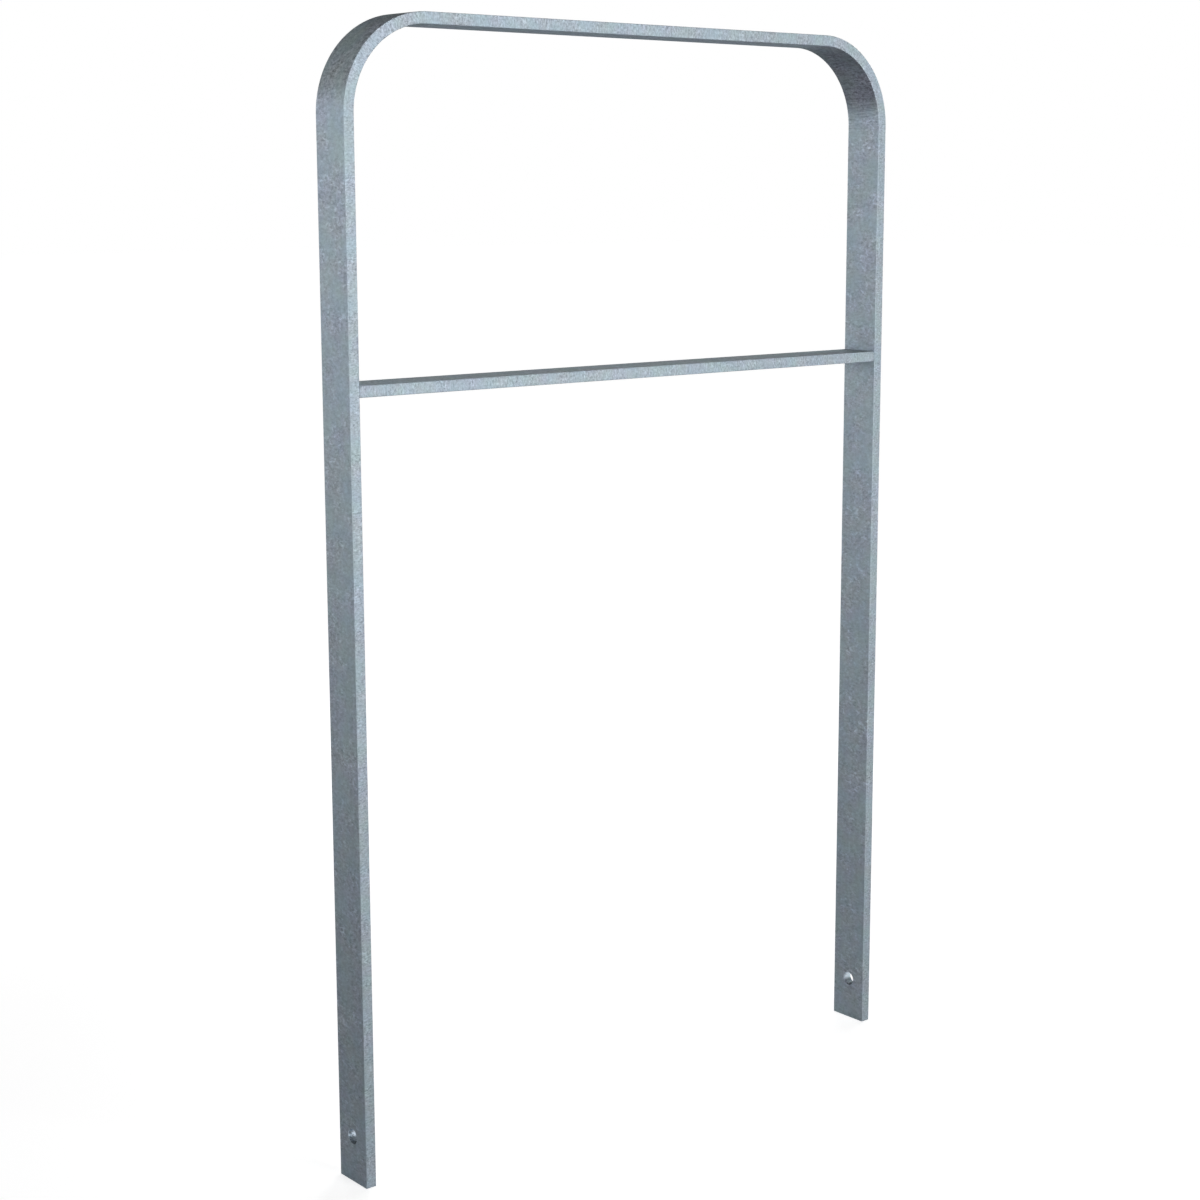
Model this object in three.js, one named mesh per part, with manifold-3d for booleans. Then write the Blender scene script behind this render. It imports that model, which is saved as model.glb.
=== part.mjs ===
// Hoop bike rack: one flat steel bar bent into a hoop, with a straight cross bar welded between its legs.
// Lengths are in millimetres. +X runs across the hoop, +Z is up and -Y is the front.
// The origin is midway between the legs, at the level of their feet.

import * as THREE from "three";
import { mergeVertices } from "three/addons/utils/BufferGeometryUtils.js";
import Module from "manifold-3d";

// The flat bar that the hoop and the cross bar are cut from
const barWidth = 50;
const barThickness = 12;
const rolledEdgeRadius = 1;

// The hoop, over its outside faces
const hoopWidth = 750;
const hoopHeight = 1200;
const bendRadius = 100;

// The cross bar lies flat, with this clear height between its top and the underside of the hoop's top
const upperOpeningHeight = 350;

// The hole for a ground anchor rod near the foot of each leg
const anchorHoleDiameter = 16;
const anchorHoleHeight = 50;

// The bevel ground on each end edge of the cross bar, which the weld seam fills
const weldBevel = 3;

// How far the drill's cylinder runs past each face of the leg
const cutOverrun = 5;

// How finely the round shapes are faceted
const bendCurveSegments = 12;
const rolledEdgeSegments = 2;
const anchorHoleSides = 48;

// Places worked out from the sizes above
const outerX = hoopWidth / 2;
const innerX = outerX - barThickness;
const innerBendRadius = bendRadius - barThickness;
const bendCentreX = outerX - bendRadius;
const bendCentreZ = hoopHeight - bendRadius;
const crossBarTop = hoopHeight - barThickness - upperOpeningHeight;
const crossBarUnderside = crossBarTop - barThickness;
const weldLength = barWidth - 2 * rolledEdgeRadius;

const QUARTER_TURN = Math.PI / 2;

const galvanisedSteel = new THREE.MeshStandardMaterial({
  name: "galvanised_steel",
  color: 0x8f9ca5,
  roughness: 0.5,
  metalness: 0.85,
});

// A Shape is drawn as the object's front view: its x is the object's X and its y is the object's Z.
// Turning the extrusion by a quarter turn about X stands it up, centred front to back.
function standUp(geometry, depth) {
  geometry.translate(0, 0, -depth / 2);
  geometry.rotateX(QUARTER_TURN);
  return geometry;
}

// A length of flat bar seen edge on, with the small radius that rolling leaves on its long edges
function flatBar(outline) {
  const straightDepth = barWidth - 2 * rolledEdgeRadius;
  const geometry = new THREE.ExtrudeGeometry(outline, {
    depth: straightDepth,
    steps: 1,
    curveSegments: bendCurveSegments,
    bevelEnabled: true,
    bevelThickness: rolledEdgeRadius,
    bevelSize: rolledEdgeRadius,
    bevelOffset: -rolledEdgeRadius,
    bevelSegments: rolledEdgeSegments,
  });
  return standUp(geometry, straightDepth);
}

// The hoop's outline: along its inside from the left foot to the right foot, then back over its outside
function hoopOutline() {
  const outline = new THREE.Shape();
  outline.moveTo(-outerX, 0);
  outline.lineTo(-innerX, 0);
  outline.lineTo(-innerX, bendCentreZ);
  outline.absarc(-bendCentreX, bendCentreZ, innerBendRadius, Math.PI, QUARTER_TURN, true);
  outline.lineTo(bendCentreX, hoopHeight - barThickness);
  outline.absarc(bendCentreX, bendCentreZ, innerBendRadius, QUARTER_TURN, 0, true);
  outline.lineTo(innerX, 0);
  outline.lineTo(outerX, 0);
  outline.lineTo(outerX, bendCentreZ);
  outline.absarc(bendCentreX, bendCentreZ, bendRadius, 0, QUARTER_TURN, false);
  outline.lineTo(-bendCentreX, hoopHeight);
  outline.absarc(-bendCentreX, bendCentreZ, bendRadius, QUARTER_TURN, Math.PI, false);
  outline.closePath();
  return outline;
}

// The cross bar's outline, with a bevel at each end of its top and of its underside
function crossBarOutline() {
  const bevelX = innerX - weldBevel;
  const outline = new THREE.Shape();
  outline.moveTo(-bevelX, crossBarUnderside);
  outline.lineTo(bevelX, crossBarUnderside);
  outline.lineTo(innerX, crossBarUnderside + weldBevel);
  outline.lineTo(innerX, crossBarTop - weldBevel);
  outline.lineTo(bevelX, crossBarTop);
  outline.lineTo(-bevelX, crossBarTop);
  outline.lineTo(-innerX, crossBarTop - weldBevel);
  outline.lineTo(-innerX, crossBarUnderside + weldBevel);
  outline.closePath();
  return outline;
}

// A weld seam's outline: the three-cornered space between the leg and the bevel, filled flush.
// side is -1 at the left leg and 1 at the right, and up is 1 on the bar's top and -1 on its underside.
function weldOutline(side, up) {
  const faceZ = up > 0 ? crossBarTop : crossBarUnderside;
  const outline = new THREE.Shape();
  outline.moveTo(side * innerX, faceZ);
  outline.lineTo(side * (innerX - weldBevel), faceZ);
  outline.lineTo(side * innerX, faceZ - up * weldBevel);
  outline.closePath();
  return outline;
}

// A closed solid that can be cut, from a three.js geometry
function toSolid(wasm, geometry) {
  const bare = geometry.clone();
  bare.deleteAttribute("normal");
  bare.deleteAttribute("uv");
  const merged = mergeVertices(bare);
  return new wasm.Manifold(
    new wasm.Mesh({
      numProp: 3,
      vertProperties: new Float32Array(merged.getAttribute("position").array),
      triVerts: new Uint32Array(merged.getIndex().array),
    }),
  );
}

// The three.js geometry of a solid that has been cut
function toGeometry(solid) {
  const mesh = solid.getMesh();
  const geometry = new THREE.BufferGeometry();
  geometry.setAttribute("position", new THREE.BufferAttribute(mesh.vertProperties, 3));
  geometry.setIndex(new THREE.BufferAttribute(mesh.triVerts, 1));
  geometry.computeVertexNormals();
  return geometry;
}

// The drill that makes one leg's hole, lying along X through the middle of the leg
function anchorDrill(side) {
  const radius = anchorHoleDiameter / 2;
  const length = barThickness + 2 * cutOverrun;
  const drill = new THREE.CylinderGeometry(radius, radius, length, anchorHoleSides);
  drill.rotateZ(QUARTER_TURN);
  drill.translate((side * (outerX + innerX)) / 2, 0, anchorHoleHeight);
  return drill;
}

function hoopBarGeometry(wasm) {
  const bar = toSolid(wasm, flatBar(hoopOutline()));
  const leftHole = toSolid(wasm, anchorDrill(-1));
  const rightHole = toSolid(wasm, anchorDrill(1));
  return toGeometry(bar.subtract(leftHole).subtract(rightHole));
}

function weldGeometry(side, up) {
  const geometry = new THREE.ExtrudeGeometry(weldOutline(side, up), {
    depth: weldLength,
    steps: 1,
    bevelEnabled: false,
  });
  return standUp(geometry, weldLength);
}

function addPiece(group, name, geometry) {
  const mesh = new THREE.Mesh(geometry, galvanisedSteel.clone());
  mesh.name = name;
  group.add(mesh);
}

const wasm = await Module();
wasm.setup();

const rack = new THREE.Group();
rack.name = "hoop_bike_rack";
addPiece(rack, "hoop_bar", hoopBarGeometry(wasm));
addPiece(rack, "cross_bar", flatBar(crossBarOutline()));
for (const [sideName, side] of [["left", -1], ["right", 1]]) {
  addPiece(rack, `weld_upper_${sideName}`, weldGeometry(side, 1));
  addPiece(rack, `weld_lower_${sideName}`, weldGeometry(side, -1));
}

export default rack;
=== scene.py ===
import math

import bmesh
import bpy
from bpy.props import (
    FloatProperty,
    FloatVectorProperty,
    IntProperty,
    PointerProperty,
)
from bpy.types import Operator, Panel, PropertyGroup
from mathutils import Euler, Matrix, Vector


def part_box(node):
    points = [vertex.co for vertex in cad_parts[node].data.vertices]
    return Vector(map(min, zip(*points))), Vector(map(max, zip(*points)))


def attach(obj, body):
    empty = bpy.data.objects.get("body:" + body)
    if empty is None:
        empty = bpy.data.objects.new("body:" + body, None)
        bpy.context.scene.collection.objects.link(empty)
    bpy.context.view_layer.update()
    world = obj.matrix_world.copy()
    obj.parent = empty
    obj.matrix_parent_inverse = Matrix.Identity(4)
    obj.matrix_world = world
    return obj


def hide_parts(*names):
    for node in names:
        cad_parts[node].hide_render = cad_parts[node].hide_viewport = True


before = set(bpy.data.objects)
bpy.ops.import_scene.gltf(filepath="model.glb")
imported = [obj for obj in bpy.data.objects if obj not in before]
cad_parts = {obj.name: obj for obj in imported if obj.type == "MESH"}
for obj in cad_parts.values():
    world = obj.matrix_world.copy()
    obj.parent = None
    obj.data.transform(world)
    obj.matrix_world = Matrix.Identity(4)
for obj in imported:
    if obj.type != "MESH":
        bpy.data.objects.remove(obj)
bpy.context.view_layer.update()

bl_info = {
    "name": "Hoop bike rack",
    "version": (1, 0, 0),
    "blender": (4, 5, 0),
    "location": "View3D > Sidebar > Bike rack",
    "description": "Dresses a welded hoop of galvanised flat bar: its bars, weld seams and a plain studio",
    "category": "Object",
}

# The rack is one rigid thing, so every piece moves with the frame's only body
RACK_BODY = "root"

# Sizes that the construction model already settles, in metres
HOOP_LOW, HOOP_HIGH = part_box("hoop_bar")
CROSS_LOW, CROSS_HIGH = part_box("cross_bar")
SEAM_LOW, SEAM_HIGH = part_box("weld_upper_right")
BAR_THICKNESS = CROSS_HIGH.z - CROSS_LOW.z
HALF_WIDTH = HOOP_HIGH.x
HEIGHT = HOOP_HIGH.z

MM = 0.001

# The width of the camera's sensor, in millimetres
SENSOR_WIDTH = 36

# The mesh attribute that holds each point's place on the straight bar, before it was bent, in metres:
# along it from the middle of the hoop, across it, and outwards through its thickness
BAR_PLACE = "bar_place"

# The cross bar was cut from another stretch of bar, this far along, so its zinc isn't the hoop's
CROSS_BAR_START = 5.0

# Faces that meet at more than this keep a crisp edge between them
SHARP_ANGLE = math.radians(30)

# Two places closer than this are the same place
SAME_PLACE = 0.01 * MM

# How squarely a face has to look up or down to count as level at all, and in full
LEVEL_START = 0.8
LEVEL_FULL = 0.95

# The level about which a noise varies
NOISE_MIDDLE = 0.5

WHITE = (1.0, 1.0, 1.0, 1.0)


def linear_colour(hex_code):
    """An sRGB hex colour, such as a6b5be, as the linear red, green, blue and alpha that a shader takes."""
    channels = [int(hex_code[i : i + 2], 16) / 255 for i in (0, 2, 4)]
    linear = [c / 12.92 if c <= 0.04045 else ((c + 0.055) / 1.055) ** 2.4 for c in channels]
    return (*linear, 1.0)


def add_node(tree, kind, inputs=None, **settings):
    """Adds a node with its settings. An input that is given a socket is linked, and any other is set."""
    node = tree.nodes.new(kind)
    for name, value in settings.items():
        setattr(node, name, value)
    for socket, value in (inputs or {}).items():
        if isinstance(value, bpy.types.NodeSocket):
            tree.links.new(value, node.inputs[socket])
        else:
            node.inputs[socket].default_value = value
    return node


class RackBarSettings(PropertyGroup):
    """Sizes of the bars that the construction model's boxes don't give"""

    bend_radius: FloatProperty(
        name="Bend radius",
        description="Radius of each bend, over the outside of the bar",
        default=100 * MM,
        min=20 * MM,
        unit="LENGTH",
    )
    edge_radius: FloatProperty(
        name="Rolled edge",
        description="Radius that rolling leaves on the bar's long edges",
        default=1 * MM,
        min=0.1 * MM,
        unit="LENGTH",
    )
    cut_edge_radius: FloatProperty(
        name="Cut edge",
        description="Radius that the zinc leaves on sawn ends and on the rims of drilled holes",
        default=0.4 * MM,
        min=0.1 * MM,
        unit="LENGTH",
    )
    hole_diameter: FloatProperty(
        name="Hole diameter",
        description="Diameter of the anchor hole near each foot",
        default=16 * MM,
        min=4 * MM,
        unit="LENGTH",
    )
    hole_height: FloatProperty(
        name="Hole height",
        description="Height of the anchor hole's centre above the foot",
        default=50 * MM,
        unit="LENGTH",
    )
    bend_segments: IntProperty(
        name="Bend segments", description="Flats in each quarter bend", default=48, min=8
    )
    hole_segments: IntProperty(
        name="Hole segments", description="Flats round each anchor hole", default=64, min=16
    )
    edge_segments: IntProperty(
        name="Edge segments", description="Flats across each rounded edge", default=3, min=1
    )
    weld_ripple: FloatProperty(
        name="Weld ripple",
        description="Depth of the ripples that dressing leaves along a weld seam",
        default=0.15 * MM,
        unit="LENGTH",
    )
    weld_ripple_pitch: FloatProperty(
        name="Weld ripple pitch",
        description="Distance from one ripple of a weld seam to the next",
        default=2.4 * MM,
        min=0.5 * MM,
        unit="LENGTH",
    )


class RackZincSettings(PropertyGroup):
    """Look of the galvanised coating"""

    violet_colour: FloatVectorProperty(
        name="Violet patches",
        description="Colour of the coating where it tends to violet",
        default=linear_colour("aab3bf"),
        size=4,
        subtype="COLOR",
        min=0,
        max=1,
    )
    green_colour: FloatVectorProperty(
        name="Green patches",
        description="Colour of the coating where it tends to green",
        default=linear_colour("a6b7c0"),
        size=4,
        subtype="COLOR",
        min=0,
        max=1,
    )
    blue_drift: FloatProperty(
        name="Blue drift",
        description="How far the blue in the colour comes and goes, as a share of it",
        default=0.033,
        min=0,
        max=0.5,
    )
    # Painted shade: darkens the colour on the outside of a bend
    painted_outer_bend_shade: FloatVectorProperty(
        name="Painted shade outside a bend",
        description="What the colour is multiplied by on the outside of a bend",
        default=(0.71, 0.7, 0.665, 1.0),
        size=4,
        min=0,
        max=1,
    )
    # Painted shade: darker still at the upper end of a bend's outside
    painted_outer_crown_shade: FloatVectorProperty(
        name="Crown of a bend",
        description="What the colour is multiplied by at the upper end of a bend's outside",
        default=(0.575, 0.567, 0.538, 1.0),
        size=4,
        min=0,
        max=1,
    )
    # Painted shade: darkens the colour on the inside of a bend
    painted_inner_bend_shade: FloatVectorProperty(
        name="Painted shade inside a bend",
        description="What the colour is multiplied by on the inside of a bend",
        default=(0.47, 0.44, 0.45, 1.0),
        size=4,
        min=0,
        max=1,
    )
    # Painted shade: darker still at the upper end of a bend's inside
    painted_inner_crown_shade: FloatVectorProperty(
        name="Painted shade inside a crown",
        description="What the colour is multiplied by at the upper end of a bend's inside",
        default=(0.36, 0.35, 0.36, 1.0),
        size=4,
        min=0,
        max=1,
    )
    # Painted light: a warmer tint on level faces that look up
    painted_warm_light_up: FloatVectorProperty(
        name="Faces that look up",
        description="What the colour is multiplied by on level faces that look up",
        default=(1.03, 1.0, 0.94, 1.0),
        size=4,
        min=0,
        max=1.2,
    )
    narrow_tint: FloatVectorProperty(
        name="Narrow faces",
        description="What the colour is multiplied by on the bar's narrow faces",
        default=(1.0, 1.0, 0.982, 1.0),
        size=4,
        min=0,
        max=1.2,
    )
    narrow_bend_tint: FloatVectorProperty(
        name="Narrow faces of a bend",
        description="What the colour is multiplied by on the narrow faces of a bend",
        default=(1.07, 1.07, 1.05, 1.0),
        size=4,
        min=0,
        max=1.2,
    )
    metallic: FloatProperty(
        name="Metallic",
        description="How much bare metal shows through the zinc's dull skin",
        default=0.22,
        subtype="FACTOR",
        min=0,
        max=1,
    )
    level_metallic: FloatProperty(
        name="Metallic, level faces",
        description="How much bare metal shows on level faces, where the skin is thicker",
        default=0.03,
        subtype="FACTOR",
        min=0,
        max=1,
    )
    roughness: FloatProperty(
        name="Roughness",
        description="Roughness of the dull skin",
        default=0.6,
        subtype="FACTOR",
        min=0,
        max=1,
    )
    cloud_size: FloatProperty(
        name="Clouds", description="Width of the soft clouds", default=40 * MM, unit="LENGTH"
    )
    tint_size: FloatProperty(
        name="Tints", description="Width of the patches of one tint", default=28 * MM, unit="LENGTH"
    )
    crystal_size: FloatProperty(
        name="Crystals",
        description="Distance between the pale crystals",
        default=5 * MM,
        unit="LENGTH",
    )
    grain_size: FloatProperty(
        name="Grain", description="Width of the finest grain", default=2.6 * MM, unit="LENGTH"
    )
    pit_size: FloatProperty(
        name="Pits",
        description="Distance between the dark pits on the narrow faces",
        default=3.5 * MM,
        unit="LENGTH",
    )
    roll_line_size: FloatProperty(
        name="Roll lines",
        description="Width of the faint lines along the bar",
        default=2.5 * MM,
        unit="LENGTH",
    )
    crease_size: FloatProperty(
        name="Creases",
        description="Width of the creases inside the bends",
        default=0.8 * MM,
        unit="LENGTH",
    )
    cloud_contrast: FloatProperty(
        name="Cloud contrast", description="How far the clouds lighten or darken the tone", default=0.02
    )
    crystal_contrast: FloatProperty(
        name="Crystal contrast", description="How much paler the crystals are than the rest", default=0.41
    )
    grain_contrast: FloatProperty(
        name="Grain contrast", description="Strength of the finest grain", default=0.98
    )
    roll_line_contrast: FloatProperty(
        name="Roll line contrast", description="Strength of the faint lines along the bar", default=0.07
    )
    crease_contrast: FloatProperty(
        name="Crease contrast", description="Strength of the creases inside the bends", default=0.9
    )
    pit_contrast: FloatProperty(
        name="Pit contrast", description="How much darker the pits are than the rest", default=0.15
    )


class RackStageSettings(PropertyGroup):
    """Camera and light"""

    camera_location: FloatVectorProperty(
        name="Camera",
        description="Where the camera stands",
        default=(-1.56987, -1.87529, 1.03156),
        subtype="TRANSLATION",
    )
    camera_heading: FloatProperty(
        name="Heading",
        description="Way the camera looks, turned from +Y towards +X",
        default=math.radians(40.014),
        subtype="ANGLE",
    )
    camera_pitch: FloatProperty(
        name="Pitch",
        description="How far the camera looks up, and below the horizon where negative",
        default=math.radians(-9.977),
        subtype="ANGLE",
    )
    camera_lens: FloatProperty(
        name="Lens",
        description=f"Focal length on a sensor {SENSOR_WIDTH} mm wide, in millimetres",
        default=67.003,
        unit="CAMERA",
    )
    camera_shift: FloatVectorProperty(
        name="Shift",
        description="Shift of the frame, as a share of its width",
        size=2,
        default=(-0.02494, -0.01773),
    )
    front_lamp_power: FloatProperty(
        name="Front lamp",
        description="Power of the tall soft lamp in front",
        default=11.6,
        unit="POWER",
    )
    left_front_lamp_power: FloatProperty(
        name="Left front lamp",
        description="Power of the soft lamp at the front left",
        default=2.9,
        unit="POWER",
    )
    left_back_lamp_power: FloatProperty(
        name="Left back lamp",
        description="Power of the soft lamp at the back left",
        default=1.7,
        unit="POWER",
    )
    right_lamp_power: FloatProperty(
        name="Right lamp", description="Power of the soft lamp at the right", default=9, unit="POWER"
    )
    back_lamp_power: FloatProperty(
        name="Back lamp", description="Power of the soft lamp behind", default=5, unit="POWER"
    )
    high_lamp_power: FloatProperty(
        name="High lamp",
        description="Power of the soft lamp high up at the back right",
        default=2.3,
        unit="POWER",
    )
    room_light: FloatProperty(
        name="Room light", description="Strength of the even light of the room", default=0.01
    )


def facing(tree, axis):
    """How squarely the surface faces along an axis: 1 is square on, 0 is side on and -1 is turned away."""
    normal = add_node(tree, "ShaderNodeNewGeometry").outputs["Normal"]
    return add_node(tree, "ShaderNodeSeparateXYZ", {"Vector": normal}).outputs[axis]


def facing_either_way(tree, axis):
    """How squarely the surface faces along an axis or against it: 1 is square on and 0 is side on."""
    return add_node(tree, "ShaderNodeMath", {0: facing(tree, axis)}, operation="ABSOLUTE").outputs[0]


def bend_centre(bars):
    """The x and z of the point that the right bend goes round."""
    return HALF_WIDTH - bars.bend_radius, HEIGHT - bars.bend_radius


def bend_ends(bars):
    """How far the upper and the lower end of a bend lie from the middle of the hoop, along the bar."""
    upper_end, _ = bend_centre(bars)
    return upper_end, upper_end + (bars.bend_radius - BAR_THICKNESS / 2) * math.pi / 2


def bend_share(tree, from_middle, bars):
    """How far a place along the hoop is bent: 1 in a bend, and 0 away from the bends."""
    upper_end, lower_end = bend_ends(bars)
    strain_starts, strain_full = upper_end - 22 * MM, upper_end + 60 * MM
    strain_ends, strain_still_full = lower_end - 3 * MM, lower_end - 38 * MM
    past_upper_end = add_node(
        tree,
        "ShaderNodeMapRange",
        {"Value": from_middle, "From Min": strain_starts, "From Max": strain_full},
        interpolation_type="SMOOTHSTEP",
    ).outputs["Result"]
    before_lower_end = add_node(
        tree,
        "ShaderNodeMapRange",
        {"Value": from_middle, "From Min": strain_ends, "From Max": strain_still_full},
        interpolation_type="SMOOTHSTEP",
    ).outputs["Result"]
    return add_node(
        tree, "ShaderNodeMath", {0: past_upper_end, 1: before_lower_end}, operation="MULTIPLY"
    ).outputs[0]


def crown_share(tree, from_middle, bars):
    """1 at the upper end of a bend, falling to 0 half way down it: where the painted shade is deepest."""
    upper_end, _ = bend_ends(bars)
    crown_ends, crown_still_full = upper_end + 110 * MM, upper_end + 38 * MM
    return add_node(
        tree,
        "ShaderNodeMapRange",
        {"Value": from_middle, "From Min": crown_ends, "From Max": crown_still_full},
        interpolation_type="SMOOTHSTEP",
    ).outputs["Result"]


def crease_share(tree, from_middle, through, broad, bars):
    """How creased a face is: 1 where a bend squeezed its skin, and 0 soon after the bend's lower end."""
    upper_end, lower_end = bend_ends(bars)
    creases_full = upper_end + 40 * MM
    creases_end, creases_still_full = lower_end + 20 * MM, lower_end - 6 * MM
    past_upper_end = add_node(
        tree,
        "ShaderNodeMapRange",
        {"Value": from_middle, "From Min": upper_end, "From Max": creases_full},
        interpolation_type="SMOOTHSTEP",
    ).outputs["Result"]
    before_lower_end = add_node(
        tree,
        "ShaderNodeMapRange",
        {"Value": from_middle, "From Min": creases_end, "From Max": creases_still_full},
        interpolation_type="SMOOTHSTEP",
    ).outputs["Result"]
    inside = add_node(tree, "ShaderNodeMath", {0: through, 1: 0.0}, operation="LESS_THAN").outputs[0]
    share = broad
    for part in (inside, past_upper_end, before_lower_end):
        share = add_node(tree, "ShaderNodeMath", {0: share, 1: part}, operation="MULTIPLY").outputs[0]
    return share


def fresh_zinc_colour(tree, place, zinc):
    """The zinc's own colour: patches that tend to violet or green, with more or less blue."""
    lowest, highest = 0.3, 0.7
    drift = add_node(
        tree,
        "ShaderNodeTexNoise",
        {"Vector": place, "Scale": 1 / zinc.tint_size, "Detail": 2.0, "Roughness": 0.6},
    ).outputs["Color"]
    parts = add_node(tree, "ShaderNodeSeparateXYZ", {"Vector": drift}).outputs
    violet = add_node(
        tree,
        "ShaderNodeMapRange",
        {"Value": parts["X"], "From Min": lowest, "From Max": highest},
        interpolation_type="SMOOTHSTEP",
    ).outputs["Result"]
    patches = add_node(
        tree,
        "ShaderNodeMix",
        {"Factor": violet, "A": tuple(zinc.green_colour), "B": tuple(zinc.violet_colour)},
        data_type="RGBA",
    ).outputs["Result"]
    blue = add_node(
        tree,
        "ShaderNodeMapRange",
        {"Value": parts["Y"], "From Min": lowest, "From Max": highest},
        interpolation_type="SMOOTHSTEP",
    ).outputs["Result"]
    # Red and green drift a little the other way, so that the tone changes less
    others = zinc.blue_drift / 5
    less_blue = (1 + others, 1 + others, 1 - zinc.blue_drift, 1.0)
    more_blue = (1 - others, 1 - others, 1 + zinc.blue_drift, 1.0)
    blueness = add_node(
        tree, "ShaderNodeMix", {"Factor": blue, "A": less_blue, "B": more_blue}, data_type="RGBA"
    ).outputs["Result"]
    return add_node(
        tree, "ShaderNodeVectorMath", {0: patches, 1: blueness}, operation="MULTIPLY"
    ).outputs["Vector"]


def painted_bend_shade(tree, through, crown, zinc):
    """Painted shade over a bend: what the colour is multiplied by outside the bend and inside it."""
    outer = add_node(
        tree,
        "ShaderNodeMix",
        {"Factor": crown, "A": tuple(zinc.painted_outer_bend_shade), "B": tuple(zinc.painted_outer_crown_shade)},
        data_type="RGBA",
    ).outputs["Result"]
    inner = add_node(
        tree,
        "ShaderNodeMix",
        {"Factor": crown, "A": tuple(zinc.painted_inner_bend_shade), "B": tuple(zinc.painted_inner_crown_shade)},
        data_type="RGBA",
    ).outputs["Result"]
    outside = add_node(tree, "ShaderNodeMath", {0: through, 1: 0.0}, operation="GREATER_THAN").outputs[0]
    return add_node(
        tree, "ShaderNodeMix", {"Factor": outside, "A": inner, "B": outer}, data_type="RGBA"
    ).outputs["Result"]


def local_tint(tree, through, narrow, bent, crown, bend_grain_and_shade, zinc):
    """The zinc's tint by face: painted warm light on tops, a narrow-face tint, and painted shade over
    bends.
    """
    looks_up = add_node(
        tree,
        "ShaderNodeMapRange",
        {"Value": facing(tree, "Z"), "From Min": LEVEL_START, "From Max": LEVEL_FULL},
        interpolation_type="SMOOTHSTEP",
    ).outputs["Result"]
    # Painted light: faces that look up are tinted warmer
    on_broad = add_node(
        tree,
        "ShaderNodeMix",
        {"Factor": looks_up, "A": WHITE, "B": tuple(zinc.painted_warm_light_up)},
        data_type="RGBA",
    ).outputs["Result"]
    on_narrow = add_node(
        tree,
        "ShaderNodeMix",
        {"Factor": bent, "A": tuple(zinc.narrow_tint), "B": tuple(zinc.narrow_bend_tint)},
        data_type="RGBA",
    ).outputs["Result"]
    on_face = add_node(
        tree, "ShaderNodeMix", {"Factor": narrow, "A": on_broad, "B": on_narrow}, data_type="RGBA"
    ).outputs["Result"]
    # Painted shade over the bends' broad faces
    bend_shaded = painted_bend_shade(tree, through, crown, zinc)
    return add_node(
        tree, "ShaderNodeMix", {"Factor": bend_grain_and_shade, "A": on_face, "B": bend_shaded}, data_type="RGBA"
    ).outputs["Result"]


def coarseness(tree, place, zinc):
    """How coarse the coating froze: 0 in its calm patches and 1 in its rough ones."""
    patches_per_crystal = 0.18
    calm, rough = 0.35, 0.65
    patches = add_node(
        tree,
        "ShaderNodeTexNoise",
        {"Vector": place, "Scale": patches_per_crystal / zinc.crystal_size, "Detail": 1.0},
    ).outputs["Fac"]
    return add_node(
        tree,
        "ShaderNodeMapRange",
        {"Value": patches, "From Min": calm, "From Max": rough},
        interpolation_type="SMOOTHSTEP",
    ).outputs["Result"]


def soft_clouds(tree, place, zinc):
    """Broad light and dark, about 1."""
    dark, light = 0.25, 0.75
    clouds = add_node(
        tree,
        "ShaderNodeTexNoise",
        {"Vector": place, "Scale": 1 / zinc.cloud_size, "Detail": 2.0, "Roughness": 0.5},
    ).outputs["Fac"]
    return add_node(
        tree,
        "ShaderNodeMapRange",
        {
            "Value": clouds,
            "From Min": dark,
            "From Max": light,
            "To Min": 1 - zinc.cloud_contrast,
            "To Max": 1 + zinc.cloud_contrast,
        },
        interpolation_type="SMOOTHSTEP",
    ).outputs["Result"]


def feathery_crystals(tree, across, coarse, zinc):
    """The share of the coating that is pale crystal, most of all in its rough patches."""
    rim, middle = 0.52, 0.74
    share_in_calm = 0.22
    swirl = add_node(
        tree,
        "ShaderNodeTexNoise",
        {
            "Vector": across,
            "Scale": 1 / zinc.crystal_size,
            "Detail": 2.0,
            "Roughness": 0.55,
            "Distortion": 1.2,
        },
    ).outputs["Fac"]
    crests = add_node(
        tree,
        "ShaderNodeMapRange",
        {"Value": swirl, "From Min": rim, "From Max": middle},
        interpolation_type="SMOOTHSTEP",
    ).outputs["Result"]
    grouping = add_node(
        tree, "ShaderNodeMapRange", {"Value": coarse, "To Min": share_in_calm, "To Max": 1.0}
    ).outputs["Result"]
    return add_node(tree, "ShaderNodeMath", {0: crests, 1: grouping}, operation="MULTIPLY").outputs[0]


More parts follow.
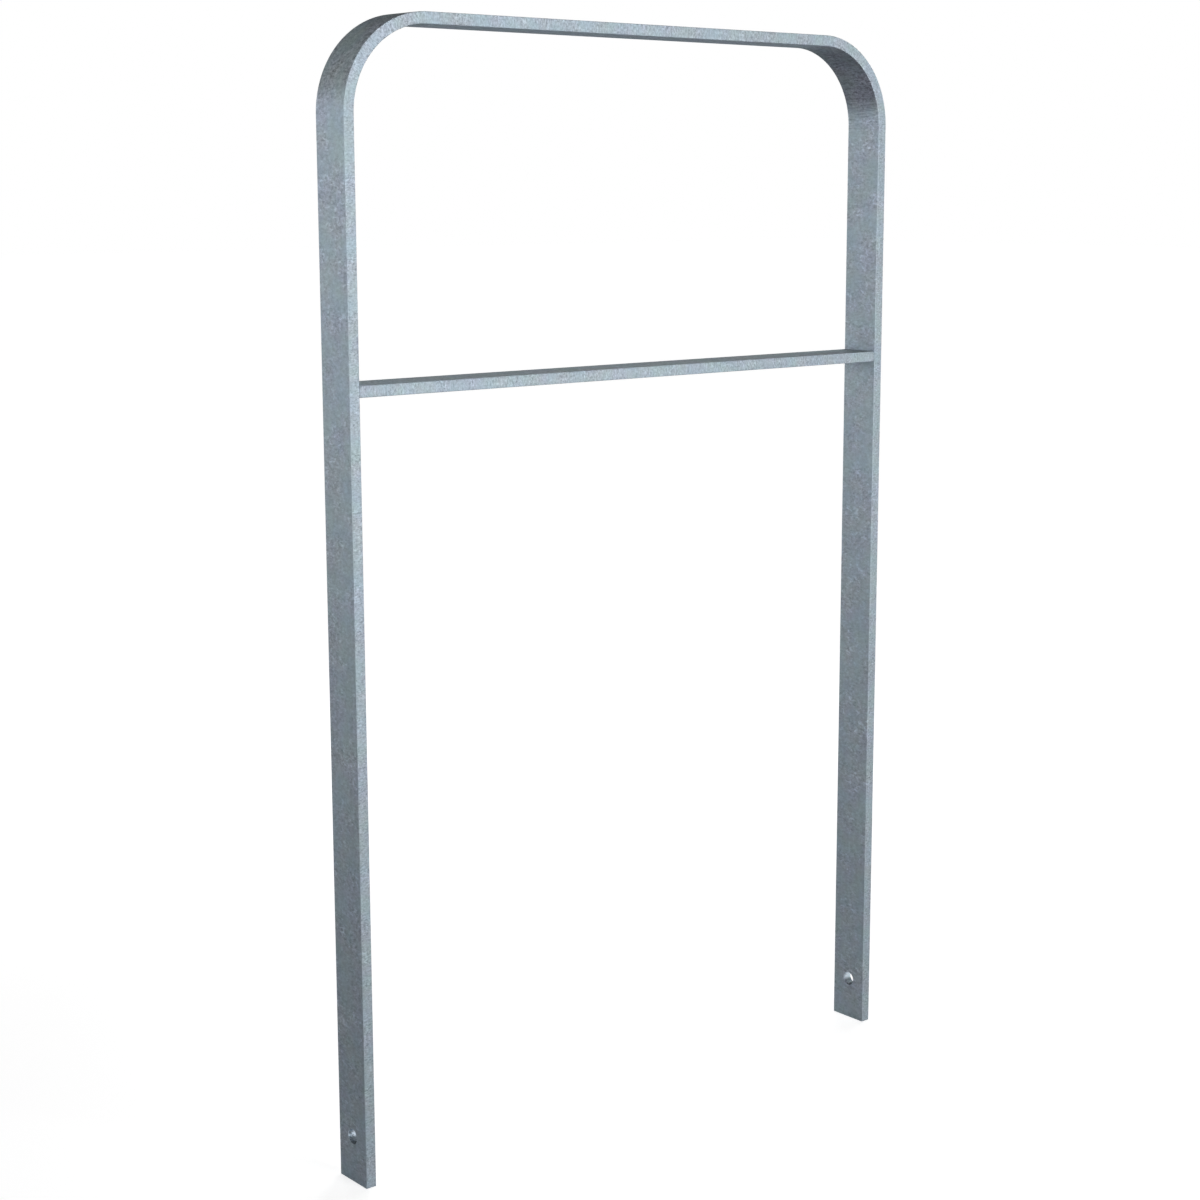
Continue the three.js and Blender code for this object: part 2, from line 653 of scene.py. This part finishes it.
def fine_grain(tree, across, narrow, coarse, bend_grain_and_shade, zinc):
    """The finest grain, about 0, finer and stronger on the narrow faces, and opened up over the bends.

    Real grain is a few tenths of a millimetre wide. It is drawn coarser, so that it shows.
    """
    narrow_fineness, narrow_strength = 1.4, 1.5
    calm_strength, rough_strength = 0.7, 1.25
    bend_strength = 1.6
    grain_middle = 0.54
    fineness = add_node(
        tree,
        "ShaderNodeMapRange",
        {"Value": narrow, "To Min": 1 / zinc.grain_size, "To Max": narrow_fineness / zinc.grain_size},
    ).outputs["Result"]
    specks = add_node(
        tree, "ShaderNodeTexNoise", {"Vector": across, "Scale": fineness, "Detail": 2.0, "Roughness": 0.7}
    ).outputs["Fac"]
    about_zero = add_node(
        tree, "ShaderNodeMath", {0: specks, 1: grain_middle}, operation="SUBTRACT"
    ).outputs[0]
    on_face = add_node(
        tree,
        "ShaderNodeMapRange",
        {"Value": narrow, "To Min": zinc.grain_contrast, "To Max": narrow_strength * zinc.grain_contrast},
    ).outputs["Result"]
    in_patch = add_node(
        tree, "ShaderNodeMapRange", {"Value": coarse, "To Min": calm_strength, "To Max": rough_strength}
    ).outputs["Result"]
    over_bend = add_node(
        tree, "ShaderNodeMapRange", {"Value": bend_grain_and_shade, "To Min": 1.0, "To Max": bend_strength}
    ).outputs["Result"]
    strength = add_node(tree, "ShaderNodeMath", {0: on_face, 1: in_patch}, operation="MULTIPLY").outputs[0]
    grain = add_node(tree, "ShaderNodeMath", {0: about_zero, 1: strength}, operation="MULTIPLY").outputs[0]
    return add_node(tree, "ShaderNodeMath", {0: grain, 1: over_bend}, operation="MULTIPLY").outputs[0]


def roll_lines(tree, place, zinc):
    """Faint lines along the bar, about 0, from the rolls under the zinc."""
    drawn_out_along = (0.02, 1.0, 1.0)
    lengthwise = add_node(
        tree, "ShaderNodeVectorMath", {0: place, 1: drawn_out_along}, operation="MULTIPLY"
    ).outputs["Vector"]
    lines = add_node(
        tree, "ShaderNodeTexNoise", {"Vector": lengthwise, "Scale": 1 / zinc.roll_line_size, "Detail": 1.0}
    ).outputs["Fac"]
    about_zero = add_node(
        tree, "ShaderNodeMath", {0: lines, 1: NOISE_MIDDLE}, operation="SUBTRACT"
    ).outputs[0]
    return add_node(
        tree, "ShaderNodeMath", {0: about_zero, 1: zinc.roll_line_contrast}, operation="MULTIPLY"
    ).outputs[0]


def bend_creases(tree, place, creased, zinc):
    """Fine creases across the bar, about 0, where bending squeezed its skin."""
    drawn_out_across = (1.0, 0.06, 0.06)
    crosswise = add_node(
        tree, "ShaderNodeVectorMath", {0: place, 1: drawn_out_across}, operation="MULTIPLY"
    ).outputs["Vector"]
    creases = add_node(
        tree, "ShaderNodeTexNoise", {"Vector": crosswise, "Scale": 1 / zinc.crease_size, "Detail": 1.0}
    ).outputs["Fac"]
    about_zero = add_node(
        tree, "ShaderNodeMath", {0: creases, 1: NOISE_MIDDLE}, operation="SUBTRACT"
    ).outputs[0]
    strength = add_node(
        tree, "ShaderNodeMath", {0: creased, 1: zinc.crease_contrast}, operation="MULTIPLY"
    ).outputs[0]
    return add_node(tree, "ShaderNodeMath", {0: about_zero, 1: strength}, operation="MULTIPLY").outputs[0]


def dark_pits(tree, place, across, narrow, zinc):
    """How far the pits darken the narrow faces, where they lie in loose groups: 0 or less."""
    pit_middle, pit_rim = 0.15, 0.45
    groups_per_pit = 0.12
    group_rim, group_middle = 0.42, 0.66
    cells = add_node(
        tree, "ShaderNodeTexVoronoi", {"Vector": across, "Scale": 1 / zinc.pit_size}, feature="F1"
    ).outputs["Distance"]
    pits = add_node(
        tree,
        "ShaderNodeMapRange",
        {"Value": cells, "From Min": pit_middle, "From Max": pit_rim, "To Min": -1.0, "To Max": 0.0},
        interpolation_type="SMOOTHSTEP",
    ).outputs["Result"]
    groups = add_node(
        tree,
        "ShaderNodeTexNoise",
        {"Vector": place, "Scale": groups_per_pit / zinc.pit_size, "Detail": 1.0},
    ).outputs["Fac"]
    depth = add_node(
        tree,
        "ShaderNodeMapRange",
        {"Value": groups, "From Min": group_rim, "From Max": group_middle, "To Max": zinc.pit_contrast},
        interpolation_type="SMOOTHSTEP",
    ).outputs["Result"]
    on_narrow = add_node(tree, "ShaderNodeMath", {0: depth, 1: narrow}, operation="MULTIPLY").outputs[0]
    return add_node(tree, "ShaderNodeMath", {0: pits, 1: on_narrow}, operation="MULTIPLY").outputs[0]


def zinc_tone(tree, place, narrow, bend_grain_and_shade, creased, zinc):
    """The coating's light and dark, about 1, and the share of it that is pale crystal."""
    # The crystals and the grain grew across the bar rather than along it
    stretched_across = (1.0, 0.6, 0.6)
    across = add_node(
        tree, "ShaderNodeVectorMath", {0: place, 1: stretched_across}, operation="MULTIPLY"
    ).outputs["Vector"]
    coarse = coarseness(tree, place, zinc)
    crystals = feathery_crystals(tree, across, coarse, zinc)
    narrow_share = 0.7
    contrast = add_node(
        tree,
        "ShaderNodeMapRange",
        {"Value": narrow, "To Min": zinc.crystal_contrast, "To Max": narrow_share * zinc.crystal_contrast},
    ).outputs["Result"]
    tone = add_node(
        tree,
        "ShaderNodeMath",
        {0: crystals, 1: contrast, 2: soft_clouds(tree, place, zinc)},
        operation="MULTIPLY_ADD",
    ).outputs[0]
    for detail in (
        fine_grain(tree, across, narrow, coarse, bend_grain_and_shade, zinc),
        roll_lines(tree, place, zinc),
        bend_creases(tree, place, creased, zinc),
        dark_pits(tree, place, across, narrow, zinc),
    ):
        tone = add_node(tree, "ShaderNodeMath", {0: tone, 1: detail}, operation="ADD").outputs[0]
    return tone, crystals


def bare_metal(tree, metallic, zinc):
    """How much metal shows. Level faces show less, as zinc drains slowly there and grows a thicker skin."""
    return add_node(
        tree,
        "ShaderNodeMapRange",
        {
            "Value": facing_either_way(tree, "Z"),
            "From Min": LEVEL_START,
            "From Max": LEVEL_FULL,
            "To Min": metallic,
            "To Max": metallic * zinc.level_metallic / zinc.metallic,
        },
        interpolation_type="SMOOTHSTEP",
    ).outputs["Result"]


def zinc_material(name, metallic, roughness, brightness, painted_shade_facing_up):
    """Zinc over steel, patterned along the bar, with painted shade on bends and painted light and shade on
    tops.
    """
    narrow_start, narrow_full = 0.6, 0.8
    upper_shade_full = 0.6
    crystal_smoothness = 0.08
    relief_depth = 0.3 * MM
    zinc = bpy.context.scene.rack_zinc
    bars = bpy.context.scene.rack_bars
    material = bpy.data.materials.new(name)
    material.use_nodes = True
    tree = material.node_tree
    tree.nodes.clear()

    # Where on the bar a point is
    place = add_node(tree, "ShaderNodeAttribute", attribute_name=BAR_PLACE).outputs["Vector"]
    place_parts = add_node(tree, "ShaderNodeSeparateXYZ", {"Vector": place}).outputs
    from_middle = add_node(tree, "ShaderNodeMath", {0: place_parts["X"]}, operation="ABSOLUTE").outputs[0]
    narrow = add_node(
        tree,
        "ShaderNodeMapRange",
        {"Value": facing_either_way(tree, "Y"), "From Min": narrow_start, "From Max": narrow_full},
        interpolation_type="SMOOTHSTEP",
    ).outputs["Result"]
    broad = add_node(tree, "ShaderNodeMath", {0: 1.0, 1: narrow}, operation="SUBTRACT").outputs[0]
    bent = bend_share(tree, from_middle, bars)
    crown = crown_share(tree, from_middle, bars)
    # The bends' broad faces, where the grain opens up and painted shade darkens the colour
    bend_grain_and_shade = add_node(tree, "ShaderNodeMath", {0: bent, 1: broad}, operation="MULTIPLY").outputs[0]

    # Its colour there
    creased = crease_share(tree, from_middle, place_parts["Z"], broad, bars)
    tone, crystals = zinc_tone(tree, place, narrow, bend_grain_and_shade, creased, zinc)
    # Painted shade and highlight: the colour's brightness, set apart for upright faces and faces that look
    # up
    shade = add_node(
        tree,
        "ShaderNodeMapRange",
        {
            "Value": facing(tree, "Z"),
            "From Min": 0.0,
            "From Max": upper_shade_full,
            "To Min": brightness,
            "To Max": painted_shade_facing_up,
        },
        interpolation_type="SMOOTHSTEP",
    ).outputs["Result"]
    lightness = add_node(tree, "ShaderNodeMath", {0: tone, 1: shade}, operation="MULTIPLY").outputs[0]
    tint = local_tint(tree, place_parts["Z"], narrow, bent, crown, bend_grain_and_shade, zinc)
    colour = add_node(
        tree,
        "ShaderNodeVectorMath",
        {0: fresh_zinc_colour(tree, place, zinc), 1: tint},
        operation="MULTIPLY",
    ).outputs["Vector"]
    mottled = add_node(
        tree, "ShaderNodeVectorMath", {0: colour, "Scale": lightness}, operation="SCALE"
    ).outputs["Vector"]

    # Its relief and shine
    relief = add_node(
        tree, "ShaderNodeBump", {"Height": tone, "Strength": 1.0, "Distance": relief_depth}
    ).outputs["Normal"]
    shine = add_node(
        tree,
        "ShaderNodeMapRange",
        {"Value": crystals, "To Min": roughness, "To Max": roughness - crystal_smoothness},
    ).outputs["Result"]
    surface = add_node(
        tree,
        "ShaderNodeBsdfPrincipled",
        {
            "Base Color": mottled,
            "Metallic": bare_metal(tree, metallic, zinc),
            "Roughness": shine,
            "Specular IOR Level": 0.0,
            "Normal": relief,
        },
    )
    add_node(tree, "ShaderNodeOutputMaterial", {"Surface": surface.outputs["BSDF"]})
    return material


def hot_dip_zinc(name):
    """Hot-dip galvanised steel, which froze on the bar after a bath of molten zinc.

    It gives the eye a dull, cool grey that drifts a little in tint, with pale feathery crystals and a fine
    grain. The skin of oxide hides most of the metal's gloss. Painted shade darkens it over the bends, and
    painted light makes it a little warmer on faces that look up.
    """
    zinc = bpy.context.scene.rack_zinc
    return zinc_material(name, zinc.metallic, zinc.roughness, brightness=1.0, painted_shade_facing_up=1.0)


def drained_zinc(name):
    """Zinc that drained through an anchor hole, which leaves a thin, smooth skin on the bore.

    It gives the eye a glint of the pale surroundings inside the hole, with a painted brightening, over
    painted shade along its bottom.
    """
    # Painted highlight and shade: the bore is brightened, and darkened at its bottom, where its wall looks
    # up
    return zinc_material(name, metallic=0.9, roughness=0.28, brightness=1.5, painted_shade_facing_up=0.35)


def dressed_weld(name):
    """Weld metal that was ground flush and galvanised with the bars.

    It gives the eye a seam a little smoother and darker than the bars beside it. Its darker tone is also
    painted shade where the cross bar meets the legs.
    """
    zinc = bpy.context.scene.rack_zinc
    metallic = zinc.metallic + 0.1
    roughness = zinc.roughness - 0.1
    # Partly painted shade: the darker weld also stands for the shade where the cross bar meets the legs
    return zinc_material(name, metallic, roughness, brightness=0.78, painted_shade_facing_up=0.78)


def finish_piece(piece, slot, *nodes):
    """Seats a finished piece on the rack in place of its construction nodes."""
    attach(piece, RACK_BODY)
    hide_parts(*nodes)


def new_piece(name, bm):
    """An object in the scene from a finished bmesh, smooth all over."""
    bmesh.ops.recalc_face_normals(bm, faces=bm.faces)
    mesh = bpy.data.meshes.new(name)
    bm.to_mesh(mesh)
    bm.free()
    mesh.polygons.foreach_set("use_smooth", [True] * len(mesh.polygons))
    piece = bpy.data.objects.new(name, mesh)
    bpy.context.scene.collection.objects.link(piece)
    return piece


def mark_sharp_edges(piece):
    """Keeps the piece's edges crisp where its faces meet at more than the sharp angle."""
    piece.data.set_sharp_from_angle(angle=SHARP_ANGLE)


def apply_modifiers(piece):
    """Makes the piece's modifiers part of its mesh."""
    bpy.context.view_layer.update()
    evaluated = piece.evaluated_get(bpy.context.evaluated_depsgraph_get())
    shaped = bpy.data.meshes.new_from_object(evaluated)
    rough = piece.data
    name = rough.name
    piece.modifiers.clear()
    piece.data = shaped
    bpy.data.meshes.remove(rough)
    shaped.name = name


def round_edges(piece, edge_radius, cut_edge_radius, segments):
    """Rounds the edges of the bar's narrow faces, and less so the rest of its sawn ends and hole rims."""
    bm = bmesh.new()
    bm.from_mesh(piece.data)
    weight = bm.edges.layers.float.new("bevel_weight_edge")
    for edge in bm.edges:
        if len(edge.link_faces) == 2 and edge.calc_face_angle() > SHARP_ANGLE:
            start, end = (vertex.co for vertex in edge.verts)
            runs_across = abs(start.y - end.y) > SAME_PLACE
            at_side = abs(abs(start.y) - HOOP_HIGH.y) < SAME_PLACE
            edge[weight] = 1.0 if at_side and not runs_across else cut_edge_radius / edge_radius
    bm.to_mesh(piece.data)
    bm.free()
    bevel = piece.modifiers.new("rounded_edges", "BEVEL")
    bevel.width = edge_radius
    bevel.segments = segments
    bevel.limit_method = "WEIGHT"
    piece.modifiers.new("flat_faces", "WEIGHTED_NORMAL")
    apply_modifiers(piece)


def mark_bar_places(piece, bar_place):
    """Writes each point's place on the unbent bar, for the zinc's pattern to follow."""
    attribute = piece.data.attributes.new(BAR_PLACE, "FLOAT_VECTOR", "POINT")
    for vertex, place in zip(piece.data.vertices, attribute.data):
        along, through = bar_place(vertex.co.x, vertex.co.z)
        place.vector = (along, vertex.co.y, through)


def bent_bar(name, outer, inner):
    """A solid bar as wide as the rack is deep, from matching rows of points along its two broad faces."""
    bm = bmesh.new()
    sides = (HOOP_LOW.y, HOOP_HIGH.y)
    outer_rows = [[bm.verts.new((x, y, z)) for y in sides] for x, z in outer]
    inner_rows = [[bm.verts.new((x, y, z)) for y in sides] for x, z in inner]
    for i in range(len(outer) - 1):
        for rows in (outer_rows, inner_rows):
            bm.faces.new((rows[i][0], rows[i][1], rows[i + 1][1], rows[i + 1][0]))
        for side in (0, 1):
            bm.faces.new(
                (outer_rows[i][side], inner_rows[i][side], inner_rows[i + 1][side], outer_rows[i + 1][side])
            )
    for end in (0, -1):
        bm.faces.new((*outer_rows[end], *reversed(inner_rows[end])))
    return new_piece(name, bm)


def hoop_side(bars, inset):
    """Points along one broad face of the hoop, from the left foot to the right, inset from its outside."""
    radius = bars.bend_radius - inset
    leg_x = HALF_WIDTH - inset
    bend_x, bend_z = bend_centre(bars)
    # Points below and above each anchor hole, so that the faces it is drilled through are short
    hole_rows = (bars.hole_height - bars.hole_diameter, bars.hole_height + bars.hole_diameter)
    points = [(-leg_x, z) for z in (HOOP_LOW.z, *hole_rows)]
    for side, start in ((-1, math.pi), (1, math.pi / 2)):
        for step in range(bars.bend_segments + 1):
            angle = start - math.pi / 2 * step / bars.bend_segments
            points.append((side * bend_x + radius * math.cos(angle), bend_z + radius * math.sin(angle)))
    points += [(leg_x, z) for z in (*reversed(hole_rows), HOOP_LOW.z)]
    return points


def hoop_place(bars):
    """A function from a point's x and z on the hoop to its place along and through the unbent bar."""
    middle = BAR_THICKNESS / 2
    radius = bars.bend_radius - middle
    bend_x, bend_z = bend_centre(bars)
    _, lower_end = bend_ends(bars)

    def place(x, z):
        if z < bend_z:
            from_middle, through = lower_end + bend_z - z, abs(x) - (HALF_WIDTH - middle)
        elif abs(x) < bend_x:
            from_middle, through = abs(x), z - (HEIGHT - middle)
        else:
            from_middle = lower_end - radius * math.atan2(z - bend_z, abs(x) - bend_x)
            through = math.hypot(z - bend_z, abs(x) - bend_x) - radius
        return math.copysign(from_middle, x), through

    return place


def drill_leg(piece, side, bars):
    """Drills the anchor hole through one leg: side is -1 at the left and 1 at the right."""
    bm = bmesh.new()
    bmesh.ops.create_cone(
        bm,
        cap_ends=True,
        segments=bars.hole_segments,
        radius1=bars.hole_diameter / 2,
        radius2=bars.hole_diameter / 2,
        depth=3 * BAR_THICKNESS,
    )
    drill = new_piece("drill", bm)
    drill.location = (side * (HALF_WIDTH - BAR_THICKNESS / 2), 0, bars.hole_height)
    drill.rotation_euler = Euler((0, math.pi / 2, 0))
    cut = piece.modifiers.new("hole", "BOOLEAN")
    cut.object = drill
    cut.operation = "DIFFERENCE"
    cut.solver = "EXACT"
    apply_modifiers(piece)
    drill_mesh = drill.data
    bpy.data.objects.remove(drill)
    bpy.data.meshes.remove(drill_mesh)


def dress_bores(piece, bars):
    """Gives the walls of the anchor holes the material in the piece's second slot."""
    reach = bars.hole_diameter / 2 + bars.cut_edge_radius
    facing_sideways = 0.9
    for face in piece.data.polygons:
        from_axis = math.hypot(face.center.y, face.center.z - bars.hole_height)
        if from_axis < reach and abs(face.normal.x) < facing_sideways:
            face.material_index = 1


class RACK_OT_hoop_bar(Operator):
    """Builds the flat bar that is bent into the hoop, with its two anchor holes"""

    bl_idname = "rack.hoop_bar"
    bl_label = "Hoop bar"

    def execute(self, context):
        bars = context.scene.rack_bars
        hoop = bent_bar("hoop_flat_bar", hoop_side(bars, 0), hoop_side(bars, BAR_THICKNESS))
        for side in (-1, 1):
            drill_leg(hoop, side, bars)
        round_edges(hoop, bars.edge_radius, bars.cut_edge_radius, bars.edge_segments)
        mark_bar_places(hoop, hoop_place(bars))
        hoop.data.materials.append(hot_dip_zinc("hot_dip_zinc_on_hoop"))
        hoop.data.materials.append(drained_zinc("drained_zinc_in_anchor_holes"))
        dress_bores(hoop, bars)
        finish_piece(hoop, "galvanised_steel", "hoop_bar")
        return {"FINISHED"}


class RACK_OT_cross_bar(Operator):
    """Builds the straight bar between the legs, with the bevels at its ends"""

    bl_idname = "rack.cross_bar"
    bl_label = "Cross bar"

    def execute(self, context):
        bars = context.scene.rack_bars
        bevel = SEAM_HIGH.x - SEAM_LOW.x
        half_length = CROSS_HIGH.x
        stations = (
            (-half_length, bevel),
            (bevel - half_length, 0),
            (half_length - bevel, 0),
            (half_length, bevel),
        )
        top = [(x, CROSS_HIGH.z - drop) for x, drop in stations]
        underside = [(x, CROSS_LOW.z + drop) for x, drop in stations]
        cross = bent_bar("cross_flat_bar", top, underside)
        round_edges(cross, bars.edge_radius, 0, bars.edge_segments)
        middle_z = (CROSS_LOW.z + CROSS_HIGH.z) / 2
        mark_bar_places(cross, lambda x, z: (CROSS_BAR_START + x, z - middle_z))
        cross.data.materials.append(hot_dip_zinc("hot_dip_zinc_on_cross_bar"))
        finish_piece(cross, "galvanised_steel", "cross_bar")
        return {"FINISHED"}


def weld_seam(name, low, high, side, up, bars):
    """Weld metal in one bevel of the cross bar: side is -1 at the left leg, and up is 1 on the bar's top.

    It lies flush with the bar, follows the rounding of the bar's long edges, and keeps shallow ripples.
    """
    leg_x, bar_x = (high.x, low.x) if side > 0 else (low.x, high.x)
    face_z, root_z = (high.z, low.z) if up > 0 else (low.z, high.z)
    half_width = HOOP_HIGH.y
    round_at = half_width - bars.edge_radius
    flat_steps, round_steps = 120, 4
    turns = [math.pi / 2 * i / round_steps for i in range(round_steps + 1)]
    rounding = [round_at + bars.edge_radius * math.sin(turn) for turn in turns]
    straight = [round_at * (2 * i / flat_steps - 1) for i in range(1, flat_steps)]
    stations = [-y for y in reversed(rounding)] + straight + rounding
    bm = bmesh.new()
    rows = []
    for y in stations:
        past = max(abs(y) - round_at, 0)
        drop = bars.edge_radius - math.sqrt(max(bars.edge_radius**2 - past**2, 0))
        ripple = bars.weld_ripple * (0.5 - 0.5 * math.cos(2 * math.pi * y / bars.weld_ripple_pitch))
        top = face_z - up * drop
        dished = face_z - up * max(drop, ripple)
        middle_x = (leg_x + bar_x + side * drop) / 2
        section = ((leg_x, top), (middle_x, dished), (bar_x + side * drop, top), (leg_x, root_z))
        rows.append([bm.verts.new((x, y, z)) for x, z in section])
    for row, following in zip(rows, rows[1:]):
        for i in range(len(row)):
            j = (i + 1) % len(row)
            bm.faces.new((row[i], row[j], following[j], following[i]))
    bm.faces.new(rows[0])
    bm.faces.new(rows[-1])
    seam = new_piece(name, bm)
    mark_sharp_edges(seam)
    return seam


class RACK_OT_weld_seams(Operator):
    """Fills the bevels at the cross bar's ends with weld metal, dressed flush"""

    bl_idname = "rack.weld_seams"
    bl_label = "Weld seams"

    def execute(self, context):
        bars = context.scene.rack_bars
        material = dressed_weld("galvanised_weld_metal")
        for level, up in (("upper", 1), ("lower", -1)):
            for side_name, side in (("left", -1), ("right", 1)):
                node = f"weld_{level}_{side_name}"
                seam = weld_seam(f"weld_seam_{level}_{side_name}", *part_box(node), side, up, bars)
                seam.data.materials.append(material)
                mark_bar_places(seam, lambda x, z: (CROSS_BAR_START + x, z - CROSS_LOW.z))
                finish_piece(seam, "galvanised_weld", node)
        return {"FINISHED"}


def seen_mask(tree):
    """1 for the rays that show white: from the camera, in gloss and through glass."""
    path = add_node(tree, "ShaderNodeLightPath").outputs
    seen = add_node(
        tree, "ShaderNodeMath", {0: path["Is Camera Ray"], 1: path["Is Glossy Ray"]}, operation="MAXIMUM"
    ).outputs[0]
    return add_node(
        tree, "ShaderNodeMath", {0: seen, 1: path["Is Transmission Ray"]}, operation="MAXIMUM"
    ).outputs[0]


def make_floor():
    """A plain pale floor that keeps the rack's soft shadow and fades into the white background."""
    half_width = 30
    # Near the rack a part of the floor's white is left to the lamps, so that the shadow shows. Its own glow
    # rises from there to plain white between these distances, in metres.
    near_glow, near_end, white_start = 0.8, 0.6, 1.8
    bm = bmesh.new()
    bmesh.ops.create_grid(bm, x_segments=1, y_segments=1, size=half_width)
    floor = new_piece("studio_floor", bm)
    floor.location.z = HOOP_LOW.z
    material = bpy.data.materials.new("pale_studio_floor")
    material.use_nodes = True
    tree = material.node_tree
    tree.nodes.clear()
    lit = add_node(tree, "ShaderNodeBsdfDiffuse", {"Color": linear_colour("d0d0d0")}).outputs["BSDF"]
    place = add_node(tree, "ShaderNodeTexCoord").outputs["Object"]
    distance = add_node(tree, "ShaderNodeVectorMath", {0: place}, operation="LENGTH").outputs["Value"]
    glow = add_node(
        tree,
        "ShaderNodeMapRange",
        {"Value": distance, "From Min": near_end, "From Max": white_start, "To Min": near_glow},
        interpolation_type="SMOOTHSTEP",
    ).outputs["Result"]
    strength = add_node(
        tree, "ShaderNodeMath", {0: seen_mask(tree), 1: glow}, operation="MULTIPLY"
    ).outputs[0]
    white = add_node(tree, "ShaderNodeEmission", {"Color": WHITE, "Strength": strength})
    both = add_node(tree, "ShaderNodeAddShader", {0: lit, 1: white.outputs["Emission"]})
    add_node(tree, "ShaderNodeOutputMaterial", {"Surface": both.outputs["Shader"]})
    floor.data.materials.append(material)


def make_room(strength):
    """The even light of the room, seen as a plain white background."""
    world = bpy.data.worlds.new("studio_room")
    bpy.context.scene.world = world
    world.use_nodes = True
    tree = world.node_tree
    tree.nodes.clear()
    shown = add_node(
        tree, "ShaderNodeMapRange", {"Value": seen_mask(tree), "To Min": strength, "To Max": 1.0}
    ).outputs["Result"]
    room = add_node(tree, "ShaderNodeBackground", {"Color": WHITE, "Strength": shown})
    add_node(tree, "ShaderNodeOutputWorld", {"Surface": room.outputs["Background"]})


# Each lamp's name, place, aim, width and height in metres, and spread in degrees
LAMPS = (
    ("front_lamp", (0.2, -2.4, 1.0), (0, 0, 1.0), 1.2, 1.6, 80),
    ("left_front_lamp", (-1.97, -1.38, 1.1), (0, 0, 1.2), 0.8, 1.2, 70),
    ("left_back_lamp", (-1.97, 1.38, 1.3), (0, 0, 1.2), 0.8, 1.2, 50),
    ("right_lamp", (2.6, 0.7, 1.6), (0, 0, 0.9), 1.2, 0.8, 120),
    ("back_lamp", (0.7, 2.45, 0.7), (0, 0, 0.8), 0.6, 1.2, 60),
    ("high_lamp", (1.5, 1.4, 3.2), (-0.2, 0, 0.9), 0.6, 0.6, 60),
)


def make_lamp(name, place, aim, width, height, power, spread):
    """A soft rectangular lamp at place that faces aim, with a grid that keeps its light in the spread."""
    lamp = bpy.data.lights.new(name, "AREA")
    lamp.shape = "RECTANGLE"
    lamp.size = width
    lamp.size_y = height
    lamp.energy = power
    lamp.spread = math.radians(spread)
    stand = bpy.data.objects.new(name, lamp)
    stand.location = place
    stand.rotation_euler = (Vector(aim) - Vector(place)).to_track_quat("-Z", "Y").to_euler()
    stand.visible_camera = False
    bpy.context.scene.collection.objects.link(stand)


def make_camera(stage):
    """The photograph's viewpoint."""
    camera = bpy.data.cameras.new("camera")
    camera.sensor_width = SENSOR_WIDTH
    camera.lens = stage.camera_lens
    camera.shift_x, camera.shift_y = stage.camera_shift
    viewer = bpy.data.objects.new("camera", camera)
    viewer.location = stage.camera_location
    viewer.rotation_euler = Euler((math.pi / 2 + stage.camera_pitch, 0, -stage.camera_heading))
    bpy.context.scene.collection.objects.link(viewer)
    bpy.context.scene.camera = viewer


class RACK_OT_stage(Operator):
    """Sets up the camera, the pale floor and the soft light"""

    bl_idname = "rack.stage"
    bl_label = "Stage"

    def execute(self, context):
        stage = context.scene.rack_stage
        make_camera(stage)
        make_floor()
        make_room(stage.room_light)
        for name, place, aim, width, height, spread in LAMPS:
            make_lamp(name, place, aim, width, height, getattr(stage, f"{name}_power"), spread)
        context.scene.view_settings.view_transform = "Standard"
        return {"FINISHED"}


class RACK_PT_panel(Panel):
    """Lists the rack's settings and the steps that build it"""

    bl_idname = "RACK_PT_panel"
    bl_label = "Hoop bike rack"
    bl_space_type = "VIEW_3D"
    bl_region_type = "UI"
    bl_category = "Bike rack"

    def draw(self, context):
        for heading, settings in (
            ("Bars", context.scene.rack_bars),
            ("Zinc", context.scene.rack_zinc),
            ("Stage", context.scene.rack_stage),
        ):
            box = self.layout.box()
            box.label(text=heading)
            for name in settings.__annotations__:
                box.prop(settings, name)
        for operator in OPERATORS:
            self.layout.operator(operator.bl_idname)


OPERATORS = (RACK_OT_stage, RACK_OT_hoop_bar, RACK_OT_cross_bar, RACK_OT_weld_seams)
SETTINGS = {
    "rack_bars": RackBarSettings,
    "rack_zinc": RackZincSettings,
    "rack_stage": RackStageSettings,
}


def register():
    for name, group in SETTINGS.items():
        bpy.utils.register_class(group)
        setattr(bpy.types.Scene, name, PointerProperty(type=group))
    for cls in (*OPERATORS, RACK_PT_panel):
        bpy.utils.register_class(cls)


def unregister():
    for cls in (RACK_PT_panel, *reversed(OPERATORS)):
        bpy.utils.unregister_class(cls)
    for name, group in reversed(SETTINGS.items()):
        delattr(bpy.types.Scene, name)
        bpy.utils.unregister_class(group)


def main():
    register()
    bpy.ops.rack.stage()
    bpy.ops.rack.hoop_bar()
    bpy.ops.rack.cross_bar()
    bpy.ops.rack.weld_seams()


if __name__ == "__main__":
    main()
